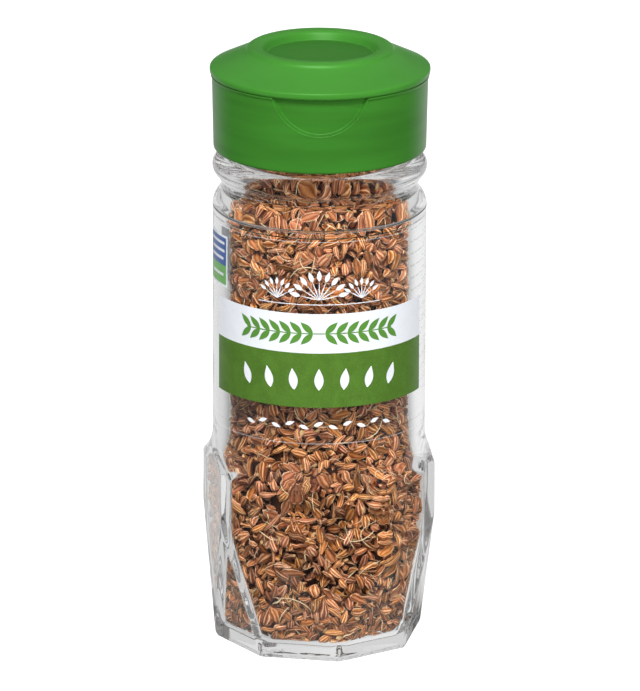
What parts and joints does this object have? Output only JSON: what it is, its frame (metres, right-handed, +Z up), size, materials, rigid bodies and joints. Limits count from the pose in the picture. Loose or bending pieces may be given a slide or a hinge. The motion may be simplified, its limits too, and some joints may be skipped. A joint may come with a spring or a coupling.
{
  "type": "glass jar of anise seed",
  "caption": "Clear glass spice jar with a facetted base, filled with dried anise seed, with a clear film label and a green plastic flip-top cap.",
  "frame": {"origin": "centre of the jar's foot, on the surface it stands on", "axes": "+Z up along the jar's axis; the front, with the label's bands and the cap's thumb notch, faces -Y"},
  "size_m": [0.0436, 0.0436, 0.1143],
  "materials": {
    "glass_jar": "clear, polished",
    "seed_heap": "dry, ribbed brown seeds with pale tan ridges",
    "label_film": "clear, glossy film",
    "label_white_band": "printed, satin",
    "label_green_band": "printed, satin",
    "cap_skirt": "moulded, satin",
    "cap_lid": "moulded, satin"
  },
  "bodies": {
    "root": {"glass_jar": "glass_jar", "seed_heap": "seed_heap", "label_film": "label_film", "label_white_band": "label_white_band", "label_green_band": "label_green_band", "cap_skirt": "cap_skirt", "cap_lid": "cap_lid"}
  },
  "joints": []
}
